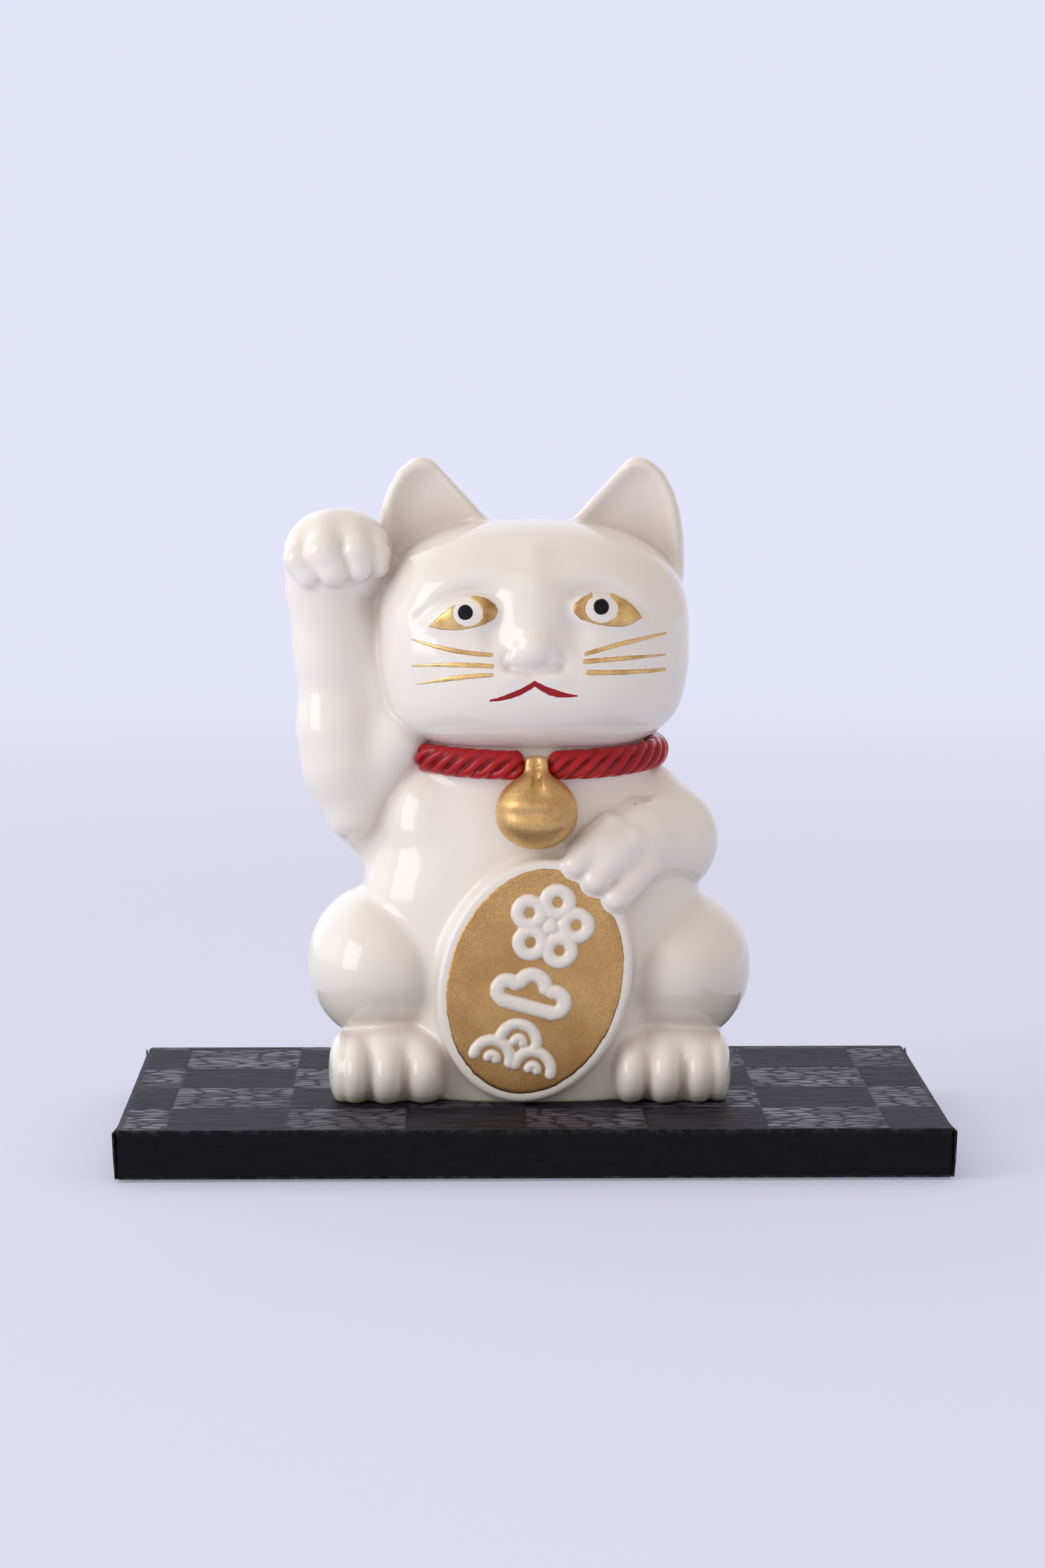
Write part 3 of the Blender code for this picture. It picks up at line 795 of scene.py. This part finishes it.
def glaze(tree):
    """Creamy white glaze with a few pinholes and a gently waving gloss, warmer in creases: pooling and painted
    shade.
    """
    tone = mixed(tree, patches(tree, 38, 0.35, 0.7), (0.83, 0.795, 0.72), (0.86, 0.83, 0.76))
    # Painted shade: the crease value darkens creases, hollows and the ear dishes, along with the glaze's real
    # pooling there.
    darker_in_hollows = mixed(tree, share_of(tree, "cavity", 0.6), tone, (0.66, 0.585, 0.53))
    waves = bump(tree, grain(tree, 70, 1.0), 0.10, 0.0006)
    return (mixed(tree, specks(tree, 210, 0.045, 0.03), darker_in_hollows, (0.16, 0.13, 0.10)),
            patches(tree, 90, 0.3, 0.7, 0.08, 0.13),
            bump(tree, grain(tree, 900, 2.0), 0.05, 0.00005, Normal=waves),
            ("IOR", 1.52), ("Coat Weight", 0.2), ("Coat Roughness", 0.06))


def bare_clay(tree):
    """Unglazed biscuit ware on the foot ring and inside the figure."""
    tone = mixed(tree, grain(tree, 500, 5.0), (0.62, 0.56, 0.48), (0.74, 0.69, 0.61))
    return (mixed(tree, specks(tree, 700, 0.12, 0.12), tone, (0.32, 0.26, 0.20)), 0.85,
            bump(tree, grain(tree, 2500, 4.0), 0.35, 0.0001))


def gold(tree, dark, light, patchy, satin=(0.38, 0.27)):
    """Satin gold lustre: fine metallic speckle in uneven patches, browner where the film thins out at its edge;
    painted shade darkens it at the eyes' inner corners and towards the figure's foot."""
    fine, broad = grain(tree, 5200, 2.0, roughness=0.6), grain(tree, patchy, 4.0)
    flake = mixed(tree, spread(tree, fine, 0.3, 0.7), dark, light)
    tone = mixed(tree, spread(tree, broad, 0.42, 0.68, 0.0, 0.6), flake, (0.42, 0.22, 0.075))
    edge = times(tree, spread(tree, point_value(tree, "inset"), 0.3, 0.0), patches(tree, 900, 0.3, 0.6))
    worn = mixed(tree, times(tree, edge, 0.5), tone, (0.33, 0.16, 0.06))
    # Painted shade: the eyes' gold browner towards their inner corners, by the nose.
    inner_shade = share_of(tree, "inner_shade", patches(tree, 500, 0.35, 0.65, 0.45, 0.9))
    painted_light_mix = mixed(tree, inner_shade, worn, (0.30, 0.115, 0.04))
    # Painted shade: the gold darker towards the bottom, most on the lower coin.
    height = add(tree, "SeparateXYZ", {0: place(tree)}).outputs["Z"]
    painted_low_shade = times(tree, spread(tree, height, 0.032, 0.011), spread(tree, broad, 0.3, 0.7, 0.55, 0.85))
    return (mixed(tree, painted_low_shade, painted_light_mix, (0.27, 0.125, 0.038)), spread(tree, fine, 0.3, 0.7, *satin),
            bump(tree, fine, 0.3, 0.00005), ("Metallic", 0.8))


def enamel(tree, dark, light):
    """Thick red overglaze enamel, darker where it pools between the cord's lobes."""
    tone = mixed(tree, patches(tree, 160, 0.3, 0.7), dark, light)
    darker_in_hollows = mixed(tree, share_of(tree, "groove", 0.95), tone, (0.085, 0.001, 0.005))
    return (mixed(tree, specks(tree, 420, 0.06, 0.05), darker_in_hollows, (0.05, 0.0, 0.0)),
            patches(tree, 300, 0.3, 0.7, 0.07, 0.15), bump(tree, grain(tree, 520, 2.0), 0.12, 0.0002),
            ("Specular IOR Level", 0.10), ("Coat Weight", 0.45), ("Coat Roughness", 0.03))


def pupil_black(tree):
    return (mixed(tree, grain(tree, 700), (0.004, 0.004, 0.005), (0.016, 0.015, 0.017)),
            patches(tree, 400, 0.3, 0.7, 0.05, 0.12), None, ("Specular IOR Level", 0.12))


def cover_paper(tree):
    """Black bookbinding paper: fine creases across it, and embossed islands rubbed glossier in patches.
    Their lilac-grey colour and the paler crests of the creases on top are painted sheen.
    """
    fibres = grain(tree, 900, 5.0, (0.35, 1, 1), 0.65)
    creases = grain(tree, 900, 4.0, (0.16, 1, 1), 0.6)
    dark = mixed(tree, fibres, (0.0025, 0.0025, 0.004), (0.010, 0.010, 0.014))
    # Painted reflection: the islands' paler lilac-grey colour, laid on by the island share below, which also sets
    # their real gloss.
    island = mixed(tree, fibres, (0.050, 0.050, 0.070), (0.135, 0.135, 0.175))
    painted_light_mix = share_of(tree, "island", patches(tree, 60, 0.3, 0.65, 0.4, 1.0))
    # Painted sheen: paler crests of the creases, on the top face only.
    crest = share_of(tree, "upper", spread(tree, creases, 0.42, 0.66, 0.0, 0.55))
    lit = mixed(tree, crest, mixed(tree, painted_light_mix, dark, island), (0.050, 0.050, 0.072))
    seamed = mixed(tree, point_value(tree, "seam"), lit, (0.001, 0.001, 0.002))
    worn = share_of(tree, "worn", spread(tree, grain(tree, 700, 5.0), 0.42, 0.7))
    return (mixed(tree, worn, seamed, (0.10, 0.10, 0.115)), spread(tree, painted_light_mix, 0.0, 1.0, 0.54, 0.33),
            bump(tree, fibres, 0.4, 0.0001, Normal=bump(tree, creases, 0.7, 0.0005)),
            ("Specular IOR Level", spread(tree, painted_light_mix, 0.0, 1.0, 0.08, 0.4)))


def paper(tree, dark, light):
    """Matt paper with short pale fibres."""
    fibres = grain(tree, 700, 6.0, (1, 0.4, 1), 0.7)
    return mixed(tree, spread(tree, fibres, 0.35, 0.75), dark, light), 0.8, bump(tree, fibres, 0.3, 0.0001)


def board(tree):
    """Raw fibreboard: fine chips lying flat."""
    chips = grain(tree, 420, 6.0, (1, 1, 4), 0.75)
    return mixed(tree, chips, (0.30, 0.20, 0.12), (0.56, 0.42, 0.28)), 0.9, bump(tree, chips, 0.5, 0.0002)


# ---- the stand's cover

COVER_LOW, COVER_HIGH = (np.array(corner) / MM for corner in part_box("stand_cover"))
HALF_X, HALF_Y, TOP = COVER_HIGH
BOTTOM = COVER_LOW[2]
EDGE = 0.6                    # radius of the wrapped edges
SHEET = 0.4                   # the paper's thickness
LIP = 11.0                    # turned in underneath
CHECK = 21.8                  # side of an embossed square
CHECK_START = (-66.8, -45.2)


def islands(x, y):
    """Embossed pebbles: height from 0 in the valleys to 1 on top. They are long across the board."""
    u, v = x / 5.2, y / 2.7
    u = u + 0.35 * noise(u * 0.9, v * 0.9, 21)
    first = second = np.full(x.shape, 9.0)
    for i in (-1, 0, 1):
        for j in (-1, 0, 1):
            cu, cv = np.floor(u) + i, np.floor(v) + j
            lots = (np.sin(cu * a + cv * b) * 43758.5 for a, b in ((127.1, 311.7), (269.5, 183.3)))
            px, py = (c + 0.5 + 0.42 * (2 * (h - np.floor(h)) - 1) for c, h in zip((cu, cv), lots))
            d = np.hypot(u - px, v - py)
            second = np.minimum(second, np.maximum(first, d))
            first = np.minimum(first, d)
    return smoothstep((second - first - 0.08) / 0.28)


def wrinkles(x, y):
    """Fine creases that run across the board."""
    fine = noise(x * 0.22 + 3 * noise(x * 0.05, y * 0.3, 31), y * 1.5, 32)
    return 0.6 * fine + 0.4 * noise(x * 0.5, y * 3.1, 33)


def embossing(x, y):
    """Over the board's top: the height in millimetres, the share of island and the share of seam."""
    i, j = (x - CHECK_START[0]) / CHECK, (y - CHECK_START[1]) / CHECK
    pebbly = (np.floor(i) + np.floor(j)) % 2 == 1
    du, dv = (np.minimum(t - np.floor(t), np.ceil(t) - t) * CHECK for t in (i, j))
    seam = np.minimum(du * 1.6, dv)
    pebble, creases = islands(x, y), wrinkles(x, y)
    height = np.where(pebbly, 0.11 * pebble - 0.06 + 0.02 * creases, 0.055 * creases)
    height = height * smoothstep(seam / 0.8) - 0.07 * (1 - smoothstep(seam / 0.5))
    patchy = smoothstep((noise(x * 0.16, y * 0.3, 41) + 0.45) / 0.7)
    return height, np.where(pebbly, pebble * (0.5 + 0.5 * patchy), 0.0), 0.8 * (1 - smoothstep(seam / 0.55))


def cover_ring(x, y, inset, radius):
    """The board's outline, drawn in from its square form by an inset, with rounded upright corners."""
    def pulled(t, half):
        scaled, flat = t * (half - inset) / half, half - inset - radius
        nearest = np.clip(scaled, -flat, flat)
        return nearest, scaled - nearest
    (cx, dx), (cy, dy) = pulled(x, HALF_X), pulled(y, HALF_Y)
    reach = np.hypot(dx, dy)
    round_it = (reach > radius) & (np.abs(dx) > 1e-9) & (np.abs(dy) > 1e-9)
    scale = np.where(round_it, radius / np.maximum(reach, 1e-9), 1)
    return cx + dx * scale, cy + dy * scale


def stand_wrap():
    """The paper wrapped over the board: embossed on top, smooth down the sides and turned in underneath."""
    cell = 0.45 if FINE else 1.2
    sides = [np.linspace(-half, half, int(2 * half / cell) + 1) for half in (HALF_X, HALF_Y)]
    gx, gy = (grid.ravel() for grid in np.meshgrid(*sides, indexing="ij"))
    index = np.arange(len(gx)).reshape(len(sides[0]), -1)
    loop = np.concatenate([index[:-1, 0], index[-1, :-1], index[:0:-1, -1], index[0, :0:-1]])
    height, island, seam = embossing(gx, gy)
    rim = np.minimum(HALF_X - np.abs(gx), HALF_Y - np.abs(gy))
    inset_x, inset_y = cover_ring(gx, gy, EDGE, 0.25)
    points = [np.stack([inset_x, inset_y, TOP + height * smoothstep(rim / 1.5)], 1)]
    worn = [0.35 * smoothstep(1 - rim / 0.7)]
    # The rings down the sides and round underneath, each an inset, a height and a wear
    rings = [(EDGE * (1 - math.sin(a)), TOP - EDGE * (1 - math.cos(a)), 0.5 - a / 4)
             for a in (0.4, 0.8, 1.2, math.pi / 2)]
    rings += [(0.06 * math.sin(math.pi * t), TOP - EDGE - t * (TOP - BOTTOM - 2 * EDGE), 0.0)
              for t in (0.08, 0.2, 0.35, 0.5, 0.65, 0.8, 0.92, 1.0)]
    rings += [(EDGE * (1 - math.cos(a)), BOTTOM + EDGE * (1 - math.sin(a)), 0.6)
              for a in (0.5, 1.0, math.pi / 2)]
    rings += [(LIP, BOTTOM, 0.3), (LIP, BOTTOM + SHEET, 0.3), (SHEET, BOTTOM + SHEET, 0.0),
              (SHEET, TOP - SHEET - 0.15, 0.0)]
    faces, previous, total = [sheet_quads(index)], loop, len(gx)
    for inset, z, wear in rings:
        x, y = cover_ring(gx[loop], gy[loop], inset, max(0.2, EDGE + 0.2 - inset))
        if 0.9 < z < TOP - 0.7:
            y += 0.05 * noise(gx[loop] * 0.11 + 7, gy[loop] * 0.11 + z * 0.3, 51)
        points.append(np.stack([x, y, np.full(len(x), z)], 1))
        worn.append(np.full(len(x), wear))
        ring = np.arange(total, total + len(x))
        faces.append(np.stack([previous, ring, np.roll(ring, -1), np.roll(previous, -1)], 1))
        previous, total = ring, total + len(x)
    upper = {"island": island * smoothstep(rim / 1.2), "seam": seam, "upper": np.ones(len(gx))}
    values = {key: np.append(share, np.zeros(total - len(gx))) for key, share in upper.items()}
    faces = [*np.concatenate(faces).tolist(), previous[::-1]]
    make_piece("stand_cover_wrap", np.concatenate(points), faces, COVER, "cover_sheet", ("stand_cover",),
               {**values, "worn": np.concatenate(worn)}, "stand")


def end_flap(side):
    """The folded end of the wrapping, which stands off the board's short side and shows its paper edge."""
    ys, zs = np.linspace(-HALF_Y + 0.1, HALF_Y - 0.1, 45), np.linspace(BOTTOM + 0.15, TOP - 0.5, 9)
    y, z = np.meshgrid(ys, zs, indexing="ij")
    along, up = (HALF_Y - np.abs(y)) / 8, (z - BOTTOM) / (TOP - BOTTOM)
    stand_off = 0.12 + 0.55 * up ** 0.6 * np.exp(-along ** 2 * 3)
    stand_off += 0.04 * noise(y * 0.3, z * 0.5, 61)
    outer = np.stack([side * (HALF_X + stand_off), y * (1 - 0.0005 * up), z], -1).reshape(-1, 3)
    inner = outer - np.array((side * 0.3, 0, 0))
    index = np.arange(y.size).reshape(y.shape)
    points, faces = closed_patch(outer, inner, sheet_quads(index)[:, ::side])
    paper_edge = np.zeros((2, *y.shape))
    paper_edge[:, (0, -1)] = 1
    make_piece("stand_cover_flap_" + ("right" if side > 0 else "left"), points, faces, COVER, "cover_sheet",
               values={"island": np.zeros(len(points)), "worn": paper_edge.ravel()}, body_name="stand")


# ---- building the figurine

def build_cat():
    points, quads = surface_net(body, (-50, -34, -3), (48, 42, 124), 0.62 if FINE else 1.0)
    points, normals = settle(body, points)
    # Painted shade: how closed in the skin is, within 2.2 and 7 mm, darkens the glaze in creases and hollows,
    # along with its real pooling there.
    cavity = np.zeros(len(points))
    for away, wide in ((2.2, 0.84), (7.0, 0.72)):
        room = evaluate(body, points + normals * away) / away
        cavity = np.maximum(cavity, smoothstep((wide - room) / 0.8))
    # Painted shade: the ear dishes darker, the more so towards their base.
    for side in (-1, 1):
        away = np.abs(ear_dish(points.astype(F32), side))
        dish = smoothstep((1.7 - away) / 1.2) * smoothstep(points[:, 1] / 2)
        cavity = np.maximum(cavity, dish * (0.4 + 0.9 * smoothstep((114 - points[:, 2]) / 11)))
    cat = make_piece("glazed_cat", points, quads, GLAZE, "white_glaze", ("ceramic_body",), {"cavity": cavity})
    cat.data.materials.append(CLAY)
    centres = points[quads].mean(1)
    foot_ring = (centres[:, 2] < 1.6) & (normals[quads].mean(1)[:, 2] < -0.6)
    inner = foot_ring | (blob(centres.astype(F32), (0, 4.5, 20), (23, 16, 21), 2.4) < 0.4)
    cat.data.polygons.foreach_set("material_index", inner.astype(np.int32))


def build_paint():
    for name, ((cx, cz), r, *eye) in EYES.items():
        # The eye's gold takes painted shade towards its inner corner, by the nose.
        painted("eye_gold_" + name, lambda x, z: eye_gold(x - cx, z - cz, *eye), (cx - 9, cz - 5),
                (cx + 9, cz + 5), GOLD_PAINT_LIT, "gold_lustre", inner_shade=lambda x: smoothstep((10.6 - np.abs(x)) / 2.6))
        painted("pupil_" + name, lambda x, z: np.hypot(x - cx, z - cz) - r + 0.06 * noise(x * 1.5, z * 1.5, 6),
                (cx - 2.5, cz - 2.5), (cx + 2.5, cz + 2.5), PUPIL, "black_enamel", 0.22)
    for name, line in WHISKERS.items():
        painted("whisker_" + name, lambda x, z: brush(x, z, *line), np.minimum(*line[:2]) - 1.5,
                np.maximum(*line[:2]) + 1.5, GOLD_PAINT_LIT, "gold_lustre")
    painted("mouth", lambda x, z: united(brush(x, z, *line) for line in MOUTH), (-9.5, 73.5), (9.5, 80.5),
            MOUTH_RED, "red_enamel")


def build_bell():
    points, quads = surface_net(bell_form, (-9, -31, 43), (11, -10, 69), 0.28 if FINE else 0.42)
    points, _ = settle(bell_form, points)
    room = evaluate(body, points)
    make_piece("gold_bell", points, quads, BELL_GOLD_LIT, "gold_lustre", ("bell",), {"inset": np.maximum(room, 0)})


def finish_node(node, finish):
    """A CAD node that is shown as it is, with a fuller material."""
    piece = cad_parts[node]
    piece.data.materials.clear()
    piece.data.materials.append(finish)


# ---- stage, lights, camera

BACKDROP = (0.775, 0.783, 0.947)
FLOOR = (0.74, 0.77, 0.95)


def show(tree, output, share, first, second):
    """Sends a mixture of two shaders to the output."""
    blend = add(tree, "MixShader", {0: share, 1: first.outputs[0], 2: second.outputs[0]})
    wire(tree, tree.nodes[output], {"Surface": blend.outputs[0]})


def build_floor():
    """A pale tabletop that fades into the backdrop's colour before the horizon."""
    mesh = bpy.data.meshes.new("floor")
    rings, spokes = (0.3, 0.8, 2.0, 6.0, 20.0), 64
    angles = 2 * math.pi * np.arange(spokes) / spokes
    circle = np.stack([np.cos(angles), np.sin(angles), 0 * angles], 1)
    points = np.concatenate([[(0, 0, 0)], *(circle * r for r in rings)])
    index = np.arange(1, len(points)).reshape(-1, spokes)
    index = np.append(index, index[:, :1], 1)
    middle = [(0, *pair) for pair in zip(index[0], index[0, 1:])]
    mesh.from_pydata(points.tolist(), [], middle + sheet_quads(index).tolist())
    floor = bpy.data.objects.new("floor", mesh)
    bpy.context.scene.collection.objects.link(floor)
    made = material("tabletop", lambda _: (FLOOR, 0.9, None, ("Specular IOR Level", 0.1)))
    mesh.materials.append(made)
    tree = made.node_tree
    where = add(tree, "TexCoord").outputs["Object"]
    distance = add(tree, "VectorMath", {0: where}, operation="LENGTH").outputs["Value"]
    show(tree, "Material Output", spread(tree, distance, 0.30, 1.1, 0.30, 1.0, "SMOOTHSTEP"),
         tree.nodes["Principled BSDF"], add(tree, "Emission", {"Color": BACKDROP}))


STUDIO = (0.62, 0.555, 0.52)  # light that comes from all round
SOFT_LIGHTS = (               # further wide lights: direction, colour times strength
    ((-0.95, -0.25, 0.10), (0.56, 0.57, 0.62)),
    ((-0.75, 0.65, 0.30), (0.50, 0.62, 0.70)),
    ((0.0, 0.70, 0.75), (0.22, 0.22, 0.20)),
    ((0.0, 1.0, 0.20), (0.24, 0.28, 0.50)),
    ((-0.10, -1.0, 0.0), (0.27, 0.26, 0.26)),
)


def build_world():
    """The backdrop's lavender as seen, and a studio of wide soft lights that shines on the object."""
    world = bpy.data.worlds.new("studio")
    world.use_nodes = True
    bpy.context.scene.world = world
    tree = world.node_tree
    seen = wire(tree, tree.nodes["Background"], {"Color": BACKDROP})
    heading = add(tree, "TexCoord").outputs["Generated"]
    far, near = (math.cos(math.radians(angle)) for angle in (50, 8))
    glow = STUDIO
    for direction, colour in SOFT_LIGHTS:
        aim = Vector(direction).normalized()
        facing = add(tree, "VectorMath", {0: heading, 1: aim}, operation="DOT_PRODUCT").outputs["Value"]
        glow = mixed(tree, spread(tree, facing, far, near, how="SMOOTHERSTEP"), glow, colour, "ADD")
    show(tree, "World Output", add(tree, "LightPath").outputs["Is Camera Ray"],
         add(tree, "Background", {"Color": glow}), seen)


LAMPS = (                     # name, place, size and power
    ("key_left", (-1.80, -0.84, 0.69), (1.08, 1.56), 12.9),
    ("high_front", (-0.32, -0.92, 1.10), (0.92, 0.68), 0.75),
)


def build_lights():
    """Two soft boxes aimed at the cat."""
    for name, place_at, size, power in LAMPS:
        lamp = bpy.data.lights.new(name, "AREA")
        lamp.shape = "RECTANGLE"
        lamp.size, lamp.size_y = size
        lamp.energy = power
        lamp.color = (0.98, 0.98, 1.0)
        holder = bpy.data.objects.new(name, lamp)
        holder.location = place_at
        holder.rotation_euler = (Vector((0, 0, 0.06)) - holder.location).to_track_quat("-Z", "Y").to_euler()
        holder.visible_camera = False
        bpy.context.scene.collection.objects.link(holder)


def build_camera():
    """Slightly above the cat, a little to its right, with a long lens."""
    data = bpy.data.cameras.new("camera")
    data.lens, data.sensor_width = 100, 36
    camera = bpy.data.objects.new("camera", data)
    camera.location = (-0.0152, -0.8126, 0.154)
    camera.rotation_euler = (math.radians(90 - 6.126), 0, math.radians(-0.964))
    bpy.context.scene.collection.objects.link(camera)
    bpy.context.scene.camera = camera


GLAZE, CLAY = material("white_glaze", glaze), material("bare_clay", bare_clay)
GOLD = material("gold_lustre", gold, (0.42, 0.245, 0.085), (0.82, 0.53, 0.21), 110)
# Painted highlight: the bell's gold is a brighter copy of the gold lustre.
BELL_GOLD_LIT = material("bell_gold_lit", gold, (0.50, 0.30, 0.105), (0.98, 0.67, 0.30), 110, (0.44, 0.34))
# Painted highlight: the gold of the eyes and whiskers is a brighter copy of the gold lustre.
GOLD_PAINT_LIT = material("gold_paint_lit", gold, (0.70, 0.45, 0.16), (1.0, 0.72, 0.33), 330)
ENAMEL = material("red_enamel", enamel, (0.34, 0.004, 0.008), (0.50, 0.010, 0.015))
PUPIL, COVER = material("black_enamel", pupil_black), material("cover_sheet", cover_paper)
MOUTH_RED = material("mouth_enamel", enamel, (0.26, 0.002, 0.009), (0.37, 0.004, 0.014))
build_camera()
build_cat()
build_paint()
coin_face()
emblem("emblem_blossom_glaze", blossom(), "emblem_blossom")
emblem("emblem_cloud_glaze", cloud(), "emblem_cloud")
emblem("emblem_wave_glaze", wave(), "emblem_wave")
for collar_name, (first, last) in COLLAR_LENGTHS.items():
    collar(collar_name, first, last)
build_bell()
stand_wrap()
for end in (-1, 1):
    end_flap(end)
LINING = material("lining_paper", paper, (0.016, 0.016, 0.018), (0.05, 0.05, 0.054))
finish_node("stand_core", material("core_board", board))
finish_node("stand_lining", LINING)
build_floor()
build_world()
build_lights()
bpy.context.scene.view_settings.view_transform = "Standard"
